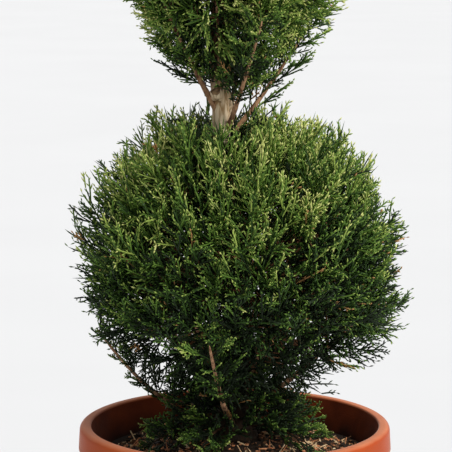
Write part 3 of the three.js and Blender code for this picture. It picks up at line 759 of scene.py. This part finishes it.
def stem_sprays(run, habit, rng):
    """Sprays along a stem, one golden angle apart, shorter towards its end and paler there, with painted
    light.
    """
    shares = np.linspace(0, 1, habit.sprays)
    along = lerp(habit.start, habit.end, shares)
    tangents = unit(at_shares(np.gradient(run, axis=0), along))
    side = across(tangents, np.broadcast_to(UP, tangents.shape))
    around = np.arange(habit.sprays) * GOLDEN_ANGLE + rng.random(habit.sprays)
    outward = leaning(side, np.cross(tangents, side), around)
    growth = leaning(tangents, outward, np.full(habit.sprays, math.radians(habit.angle)))
    growth = unit(growth + UP * (habit.upright * (1 - shares))[:, None])
    return Sizes(roots=at_shares(run, along), growth=growth, side=across(growth, np.cross(growth, outward)),
                 lengths=lerp(*habit.lengths, shares) * between(rng, STEM.length_spread, habit.sprays),
                 light=habit.light + STEM.paler_out * shares, limit=np.full(habit.sprays, habit.limit))


def cut_to_outline(plan, ball):
    """Sprays of a skirt, shortened where they would hang out of the ball's outline."""
    at_root = share_of_reach(ball, plan.roots)
    at_tip = share_of_reach(ball, plan.roots + plan.growth * plan.lengths[:, None])
    kept = np.clip((plan.limit - at_root) / np.maximum(at_tip - at_root, 1e-6), 0, 1)
    plan.lengths = np.where(at_tip > plan.limit, plan.lengths * kept, plan.lengths)
    return take(plan, plan.lengths > SKIRT.shortest)


def foot_spray_run(azimuth):
    outward = heading(1, 0, math.radians(azimuth))
    root = trunk_axis_at([FOOT_SPRAY.height])[0]
    crown = root + outward * FOOT_SPRAY.length * FOOT_SPRAY.crown_at + UP * FOOT_SPRAY.rise
    end = root + outward * FOOT_SPRAY.length + UP * (FOOT_SPRAY.rise - FOOT_SPRAY.droop)
    return bent_run(root, crown, end, TWIG.rings)


# Leaves

def tone_index(tones):
    return np.clip(np.round(tones), 0, DRY - 1).astype(int)


def set_along(stems, each, span, slip, rng):
    """So many growths along each stem: the stem of each one, its order there and its share along it."""
    stem = np.repeat(np.arange(stems), each)
    order = np.tile(np.arange(each), stems)
    along = lerp(*span, order / (each - 1)) + rng.uniform(-slip, slip, len(order))
    return stem, order, along


def either_side(order):
    return np.where(order % 2, 1, -1)[:, None]


def side_shoots(plan, tones, bend, rng):
    """The side shoots of every spray, to its two sides in turn, in one list."""
    spray, order, along = set_along(len(plan.roots), SPRAY.shoots, SPRAY.shoot_span, SPRAY.shoot_slip, rng)
    count = len(order)
    own, bend = take(plan, spray), bend[spray]
    forward = unit(own.growth + 2 * bend * along[:, None])
    base = own.roots + own.lengths[:, None] * (own.growth * along[:, None] + bend * along[:, None] ** 2)
    level = across(forward, own.side)
    roll = rng.normal(0, SPRAY.roll, count)
    outward = leaning(level, np.cross(forward, level), roll) * either_side(order + spray)
    angle = np.radians(lerp(*SPRAY.angles, along) + rng.normal(0, SPRAY.angle_spread, count))
    reach = own.lengths * SPRAY.shoot_share * (1 - SPRAY.shoot_taper * along)
    reach = reach * between(rng, SPRAY.shoot_reach, count)
    # Shoots further along a spray get paler tones, as new growth and as painted light.
    shoot_tones = tones[spray] + LEAF.along_spray * along + rng.normal(0, LEAF.shoot_spread, count)
    return Sizes(base=base, way=leaning(forward, outward, angle), forward=forward, reach=reach,
                 plane=unit(np.cross(forward, outward)), tones=shoot_tones, limit=own.limit)


def on_shoots(shoots, share):
    """The place at a share along each shoot, or at each one's own share. Shoots curl forward."""
    share = np.broadcast_to(share, len(shoots.base))[:, None]
    curled = shoots.way * share + SPRAY.curl * shoots.forward * share ** 2
    return shoots.base + shoots.reach[:, None] * curled


def leafy_tips(shoots, rng):
    """The short leafy tips of every side shoot, to its two sides in turn, in one list."""
    shoot, order, along = set_along(len(shoots.base), SPRAY.tips, SPRAY.tip_span, SPRAY.tip_slip, rng)
    count = len(order)
    own = take(shoots, shoot)
    forward = unit(own.way + 2 * SPRAY.curl * own.forward * along[:, None])
    roll = rng.normal(0, SPRAY.roll, count)
    lean = leaning(np.cross(own.plane, forward), own.plane, roll) * either_side(order)
    way = leaning(forward, lean, np.radians(SPRAY.tip_angle + rng.normal(0, SPRAY.tip_angle_spread, count)))
    reach = np.minimum(between(rng, SPRAY.tip_length, count), SPRAY.tip_share * own.reach)
    reach = reach * lerp(*SPRAY.tip_taper, along)
    base = on_shoots(own, along)
    # Tips further along a shoot get paler tones, as new growth and as painted light.
    return Sizes(base=base, end=base + way * reach[:, None], plane=own.plane,
                 tones=own.tones + LEAF.along_shoot * along, limit=own.limit, is_dry=own.is_dry)


def spindles(bases, ends, widths, hints):
    """Leafy tips: three-sided, pointed at both ends and widest past the middle."""
    way = unit(ends - bases)
    side = across(way, hints) * (widths / 2)[:, None]
    other = np.cross(way, side)
    waist = lerp(bases, ends, SPRAY.tip_waist)
    ring = [waist + side * math.cos(turn) + other * math.sin(turn) for turn in np.radians([0, 120, 240])]
    points = np.stack([bases, *ring, ends], axis=1)
    faces = np.array([[0, 2, 1], [0, 3, 2], [0, 1, 3], [1, 2, 4], [2, 3, 4], [3, 1, 4]])
    faces = faces[None] + points.shape[1] * np.arange(len(bases))[:, None, None]
    return points.reshape(-1, 3), faces.reshape(-1, 3)


def slim_limbs(paths, width, swell, hints):
    radii = np.tile(width / 2 * np.array(swell), (len(paths), 1))
    return limbs(paths, radii, SPRAY.sides, hints)


def toned(shape, tones):
    """A shape of many like growths, with one tone for each of them."""
    points, faces = shape
    return points, faces, np.repeat(tones, len(faces) // len(tones))


def grow_sprays(plan, fits, rng):
    """The leafy shoots of many sprays at once. A shoot or tip that doesn't fit its space is skipped."""
    count = len(plan.roots)
    # Painted light: each spray's light sets how light its leaf tones are.
    tones = LEAF.base_tone + LEAF.light_tones * plan.light + rng.normal(0, LEAF.spray_spread, count)
    bend = any_sideways(rng, plan.growth) * SPRAY.bend + UP * SPRAY.rise
    shares = np.array(SPRAY.axis_knots)[None, :, None]
    bent = plan.growth[:, None] * shares + bend[:, None] * shares ** 2
    axis_paths = plan.roots[:, None] + plan.lengths[:, None, None] * bent
    axes = slim_limbs(axis_paths, SPRAY.axis_width, SPRAY.axis_swell, plan.side)

    shoots = side_shoots(plan, tones, bend, rng)
    shoots = take(shoots, fits(on_shoots(shoots, 1), shoots.limit))
    shoots.is_dry = rng.random(len(shoots.base)) < LEAF.dry_shoots
    shoot_paths = np.stack([on_shoots(shoots, share) for share in SPRAY.shoot_knots], axis=1)
    shoot_limbs = slim_limbs(shoot_paths, SPRAY.shoot_width, SPRAY.shoot_swell, shoots.plane)

    tips = leafy_tips(shoots, rng)
    tips = take(tips, fits(tips.end, tips.limit))
    tip_limbs = spindles(tips.base, tips.end, between(rng, SPRAY.tip_width, len(tips.base)), tips.plane)
    tips.is_dry |= rng.random(len(tips.base)) < LEAF.dry_tips
    return joined([
        toned(axes, tone_index(tones)),
        toned(shoot_limbs, np.where(shoots.is_dry, DRY, tone_index(shoots.tones))),
        toned(tip_limbs, np.where(tips.is_dry, DRY, tone_index(tips.tones))),
    ])


# Twigs

def nearest_start(ends, growth, places, pull):
    """For each end, the place that is near it and lies behind it, against its growth."""
    offset = ends[:, None] - places[None]
    distance = np.linalg.norm(offset, axis=2)
    behind = np.sum(offset * growth[:, None], axis=2)
    return places[np.argmin(distance + pull * np.maximum(TWIG.behind * distance - behind, 0), axis=1)]


def twig_runs(starts, ends, growth):
    span = np.linalg.norm(ends - starts, axis=1)[:, None]
    bend = ends - growth * span * TWIG.bend
    return bent_run(starts[:, None], bend[:, None], ends[:, None], TWIG.rings)


def ball_twigs(ball, sprays, limb_places):
    """Branchlets from the limbs to the shell of the ball, and a thin twig from them to each spray."""
    directions = spread_directions(ball.twig_ends)
    growth = unit(directions + BALL.lift * UP)
    ends = np.array(ball.middle) + directions * (ball_reach(ball, directions) * TWIG.end_reach)[:, None]
    branchlets = twig_runs(nearest_start(ends, growth, limb_places, TWIG.pull), ends, growth)
    taper = np.tile(np.linspace(TWIG.root_radius, TWIG.tip_radius, TWIG.rings), (len(ends), 1))
    hints = any_sideways(np.random.default_rng(ball.seed), growth)
    joints = branchlets[:, 1:].reshape(-1, 3)
    starts = nearest_start(sprays.roots, sprays.growth, joints, TWIG.link_pull)
    links = twig_runs(starts, sprays.roots, sprays.growth)
    links = np.concatenate([links[:, ::TWIG.link_step], links[:, -1:] + sprays.growth[:, None]], axis=1)
    link_radii = np.full((len(links), links.shape[1] - 1), TWIG.link_radius)
    return joined([
        (*limbs(branchlets, taper, TWIG.sides, hints), 0),
        (*limbs(links, link_radii, TWIG.link_sides, sprays.side), 0),
    ])


# Pot and soil

def inner_wall_radius(height):
    share = (height - POT.floor) / (POT.height - POT.floor)
    return lerp(POT.base_radius - POT.wall, POT.rim_radius - POT.wall, share)


SOIL_RADIUS = inner_wall_radius(SOIL_EDGE) - SOIL.clearance


def quarter_round(radius, height, size, start, steps):
    angles = np.radians(start + np.linspace(0, 90, steps + 1))
    return np.stack([radius + size * np.cos(angles), height + size * np.sin(angles)], axis=1)


def past_corners(corners, steps):
    """Points from corner to corner in even steps, without the last corner."""
    sides = zip(corners, corners[1:], steps)
    return np.vstack([np.linspace(start, end, count + 1)[:-1] for start, end, count in sides])


def turned(profile, sides):
    """Rings of points from a profile of (radius, height) turned about the pot's axis."""
    turn = around_a_turn(sides)
    return np.stack([
        np.outer(profile[:, 0], np.cos(turn)), np.outer(profile[:, 0], np.sin(turn)),
        np.repeat(profile[:, 1:], sides, axis=1)], axis=2)


def ring_faces(rings, sides):
    """Triangles between rings of points. The last ring is joined to the first."""
    row = np.arange(rings)[:, None]
    column = np.arange(sides)[None]
    next_row, next_column = (row + 1) % rings, (column + 1) % sides
    a, b = row * sides + column, row * sides + next_column
    c, d = next_row * sides + column, next_row * sides + next_column
    return np.concatenate([np.stack([a, b, d], 2).reshape(-1, 3), np.stack([a, d, c], 2).reshape(-1, 3)])


def pot_profile():
    """The pot's outer outline, from the drain up to the rim, and its inner one back down to the drain."""
    band_foot = POT.height - POT.rim_band
    rim_foot = POT.height - POT.rim_round
    corners = [
        (POT.drain_radius, 0), (POT.base_radius - POT.bevel, 0), (POT.base_radius, POT.bevel),
        (POT.rim_radius - POT.rim_step, band_foot - POT.bevel), (POT.rim_radius - POT.bevel / 2, band_foot),
        (POT.rim_radius + POT.rim_flare, band_foot + POT.bevel), (POT.rim_radius, rim_foot)]
    outer = np.vstack([
        past_corners(corners, [*POT.foot_rings, POT.wall_rings, *POT.band_rings]),
        quarter_round(POT.rim_radius - POT.rim_round, rim_foot, POT.rim_round, 0, POT.rim_rings),
    ])
    lip = POT.rim_radius - POT.wall
    lip_foot = (lip, POT.height - POT.lip_round - POT.lip_drop)
    wall_foot = (inner_wall_radius(POT.floor + POT.fillet), POT.floor + POT.fillet)
    inner = np.vstack([
        quarter_round(lip + POT.lip_round, POT.height - POT.lip_round, POT.lip_round, 90, POT.lip_rings),
        past_corners([lip_foot, wall_foot], [POT.wall_rings]),
        [wall_foot, (inner_wall_radius(POT.floor) - POT.fillet, POT.floor), (POT.drain_radius, POT.floor)],
    ])
    return outer, inner


def pot_shape():
    """The pot, turned on a wheel and a little uneven. Its second finish is for the inside."""
    rng = np.random.default_rng(POT.seed)
    outer, inner = pot_profile()
    profile = np.vstack([outer, inner])
    points = turned(profile, POT.sides)
    around = np.broadcast_to(around_a_turn(POT.sides) / FULL_TURN, points.shape[:2])
    up = np.broadcast_to(profile[:, 1:] / POT.height, points.shape[:2])
    wobble = lattice_noise(rng, POT.wobble_cells, around, up)
    wobble = wobble + POT.wheel_share * lattice_noise(rng, POT.wheel_cells, around, up)
    points[..., :2] *= (1 + POT.thrown * wobble / profile[:, :1])[..., None]
    faces = ring_faces(len(profile), POT.sides)
    is_inside = faces.min(axis=1) // POT.sides >= len(outer) + POT.lip_rings
    return points.reshape(-1, 3), faces, is_inside.astype(int)


def heaped_soil(x, y):
    """The height of the soil, heaped up from the pot's wall to a level seat under the trunk."""
    share = np.clip((SOIL_RADIUS - np.hypot(x, y)) / (SOIL_RADIUS - SOIL.seat_radius), 0, 1)
    return lerp(SOIL_EDGE, SOIL_TOP, share)


def soil_height(x, y):
    """The soil's surface, with lumps and crumbs."""
    rng = np.random.default_rng(SOIL.seed)
    radius = np.hypot(x, y)
    around = (np.arctan2(y, x) / FULL_TURN) % 1
    out = np.clip(radius / SOIL_RADIUS, 0, 1)
    lumps = lattice_noise(rng, SOIL.lump_cells, around, out) - SOIL.lump_sunk
    crumbs = lattice_noise(rng, SOIL.crumb_cells, around, out)
    loose = np.clip((radius - SOIL.seat_radius) / SOIL.seat_radius, 0, 1)
    return heaped_soil(x, y) + loose * (SOIL.lump * lumps + SOIL.crumb * crumbs)


def soil_shape():
    foot = POT.floor + SOIL.clearance
    radii = np.linspace(SOIL_RADIUS, SOIL.inmost, SOIL.rings)
    below = [(SOIL.inmost, foot), (inner_wall_radius(POT.floor) - POT.fillet, foot),
             (inner_wall_radius(foot + POT.fillet) - SOIL.clearance, foot + POT.fillet)]
    profile = np.vstack([below, np.stack([radii, np.full(SOIL.rings, SOIL_EDGE)], 1)])
    points = turned(profile, SOIL.sides)
    top = points[-SOIL.rings:]
    top[1:, :, 2] = soil_height(top[1:, :, 0], top[1:, :, 1])
    return joined([(points.reshape(-1, 3), ring_faces(len(profile), SOIL.sides), 0)])


def mulch_shape():
    """Clods of compost, shards of bark, small crumbs and dry straws that lie on the soil."""
    rng = np.random.default_rng(CHIP.seed)
    nearest = (SOIL.seat_radius * CHIP.seat_share / SOIL_RADIUS) ** 2
    parts = []
    for kind in MULCH:
        count = kind.count
        length = between(rng, kind.length, count)
        width = np.minimum(between(rng, kind.width, count), length)
        out = np.sqrt(between(rng, (nearest, 1), count)) * (SOIL_RADIUS - length / 2 - CHIP.wall_room)
        azimuth = rng.uniform(0, FULL_TURN, count)
        x, y = out * np.cos(azimuth), out * np.sin(azimuth)
        middle = np.column_stack([x, y, soil_height(x, y) + CHIP.raised * width])
        turn = rng.uniform(0, FULL_TURN, count)
        rise = rng.normal(0, kind.tilt, count)
        way = np.stack([np.cos(turn) * np.cos(rise), np.sin(turn) * np.cos(rise), np.sin(rise)], axis=1)
        steps = np.array(CHIP.knots)[None, :, None] * length[:, None, None]
        rough = between(rng, CHIP.rough, (count, len(CHIP.knots) - 1, CHIP.sides))
        radii = (width / 2)[:, None, None] * rough
        hints = np.column_stack([-np.sin(turn), np.cos(turn), rng.normal(0, CHIP.roll, count)])
        paths = middle[:, None] + way[:, None] * steps
        shape = limbs(paths, radii, CHIP.sides, hints, kind.flat, has_root_cap=True)
        parts.append(toned(shape, rng.choice(len(CHIPS), count, p=kind.mix)))
    return joined(parts)


# The pieces

def names_of(stem, count):
    return [f"{stem}_{index + 1}" for index in range(count)]


def add_boughs_and_ball(tier, rng):
    """The boughs of one ball, the skirt under it, its twigs, and its leaves in sectors."""
    ball = tier.ball
    plans = bough_plans(tier)
    for plan in plans:
        add_piece(f"{plan.name}_bark", [plan.name], bough_shape(plan, rng), [BOUGH_BARK])

    def fits_ball(points, limits):
        return (share_of_reach(ball, points) < limits) & clear_of_trunk(points)

    skirt = all_of([stem_sprays(plan.run, tier.habit, rng) for plan in plans if plan.is_outer])
    skirt_shape = grow_sprays(cut_to_outline(skirt, ball), fits_ball, rng)
    skirt_nodes = names_of(tier.skirt, tier.outer.count)
    add_piece(f"{tier.skirt}_leaves", skirt_nodes, skirt_shape, LEAVES)

    sprays = ball_sprays(ball)
    heights = TRUNK_LINE[:, 2]
    lowest = ball.middle[2] - TWIG.trunk_below * ball.below
    highest = ball.middle[2] + TWIG.trunk_above * ball.above
    trunk_places = TRUNK_LINE[(heights > lowest) & (heights < highest)][::TWIG.trunk_step]
    bough_places = [plan.run[TWIG.bough_from::TWIG.bough_step] for plan in plans]
    twigs = ball_twigs(ball, sprays, np.vstack([trunk_places, *bough_places]))
    add_piece(f"{ball.name}_twigs", [ball.name], twigs, [TWIG_BARK])

    sprays = all_of([sprays, heart_sprays(tier.heart)])
    turn = np.arctan2(sprays.roots[:, 1], sprays.roots[:, 0]) + math.pi
    sector = np.minimum((turn / FULL_TURN * ball.sectors).astype(int), ball.sectors - 1)
    for index in range(ball.sectors):
        leaf_rng = np.random.default_rng(ball.seed + LEAF.seed_step * (index + 1))
        leaves = grow_sprays(take(sprays, sector == index), fits_ball, leaf_rng)
        add_piece(f"{ball.name}_leaves_{index + 1}", [ball.name], leaves, LEAVES)


def fits_over_soil(points, limits):
    return (points[:, 2] > heaped_soil(points[:, 0], points[:, 1]) + limits) & clear_of_trunk(points)


def add_foot_sprays():
    rng = np.random.default_rng(FOOT_SPRAY.seed)
    runs = np.stack([foot_spray_run(azimuth) for azimuth in FOOT_SPRAY.azimuths])
    nodes = names_of(FOOT_SPRAY.name, len(runs))
    taper = np.linspace(FOOT_SPRAY.stem_radius, FOOT_SPRAY.stem_radius * BOUGH.end_share, TWIG.rings)
    stems = limbs(runs, np.tile(taper, (len(runs), 1)), TWIG.sides, np.tile(UP, (len(runs), 1)))
    add_piece("foot_spray_stems", nodes, joined([(*stems, 0)]), [TWIG_BARK])
    sprays = [stem_sprays(run, FOOT_SPRAY.habit, rng) for run in runs]
    sprays = all_of([*sprays, heart_sprays(FOOT_SPRAY.heart)])
    add_piece("foot_spray_leaves", nodes, grow_sprays(sprays, fits_over_soil, rng), LEAVES)


add_piece("clay_pot", ["pot"], pot_shape(), CLAY)
add_piece("compost_bed", ["soil"], soil_shape(), [COMPOST])
add_piece("bark_mulch", ["soil"], mulch_shape(), CHIPS, is_smooth=False)
add_piece("trunk_and_stubs", ["trunk"], trunk_shape(), [TRUNK_BARK, CUT_WOOD])
bough_rng = np.random.default_rng(SKIRT.seed)
for tier in (LOWER_BOUGHS, UPPER_BOUGHS):
    add_boughs_and_ball(tier, bough_rng)
add_foot_sprays()


# Floor, light and camera

def floor_material():
    material, shader = blank_material("pale_floor")
    shader["Specular IOR Level"].default_value = 0.2
    shader["Roughness"].default_value = 0.9
    mottle = effect(material, GRAIN, Scale=1.6, Fine_Scale=30)["Mask"]
    colour = mixed(material, mottle, (221, 222, 224), (223, 224, 226))
    material.node_tree.links.new(colour, shader["Base Color"])
    return material


def add_floor():
    radius = FLOOR.radius * MM
    turns = around_a_turn(FLOOR.corners)
    corners = [(radius * math.cos(turn), radius * math.sin(turn), 0) for turn in turns]
    mesh = bpy.data.meshes.new("floor")
    mesh.from_pydata(corners, [], [list(range(len(corners)))])
    mesh.materials.append(floor_material())
    floor = placed("floor", mesh)


def add_light(lamp):
    light = bpy.data.lights.new(lamp.name, "SUN")
    light.energy = lamp.strength
    light.angle = math.radians(lamp.spread)
    light.color = LIGHT_COLOUR
    hung = placed(lamp.name, light)
    hung.rotation_euler = (math.radians(90 - lamp.elevation), 0, math.radians(-lamp.azimuth))


def add_room():
    """A white room: it looks brighter, and shows brighter in gloss, than the fill that it gives."""
    world = bpy.data.worlds.new("white_room")
    bpy.context.scene.world = world
    world.use_nodes = True
    tree = world.node_tree
    fill = tree.nodes["Background"]
    fill.inputs["Color"].default_value = ROOM.fill_colour
    fill.inputs["Strength"].default_value = ROOM.fill
    seen = add_node(tree, "ShaderNodeBackground", {"Color": tint(*ROOM.seen)})["Background"]
    ray = add_node(tree, "ShaderNodeLightPath", {})
    shows = worked_out(tree, "MAXIMUM", ray["Is Camera Ray"], ray["Is Glossy Ray"])
    sides = {0: shows, 1: fill.outputs["Background"], 2: seen}
    walls = add_node(tree, "ShaderNodeMixShader", sides)["Shader"]
    tree.links.new(walls, tree.nodes["World Output"].inputs["Surface"])


def add_camera():
    data = bpy.data.cameras.new("camera")
    data.sensor_width = CAMERA.sensor
    data.lens = CAMERA.sensor * CAMERA.focal_pixels / FRAME_PIXELS
    data.clip_end = CAMERA.sees_metres
    camera = placed("camera", data)
    camera.location = np.array(CAMERA.place) * MM
    camera.rotation_euler = (math.radians(90 - CAMERA.pitch), 0, 0)
    bpy.context.scene.camera = camera


add_floor()
for lamp in LIGHTS:
    add_light(lamp)
add_room()
add_camera()
bpy.context.scene.view_settings.view_transform = "Standard"
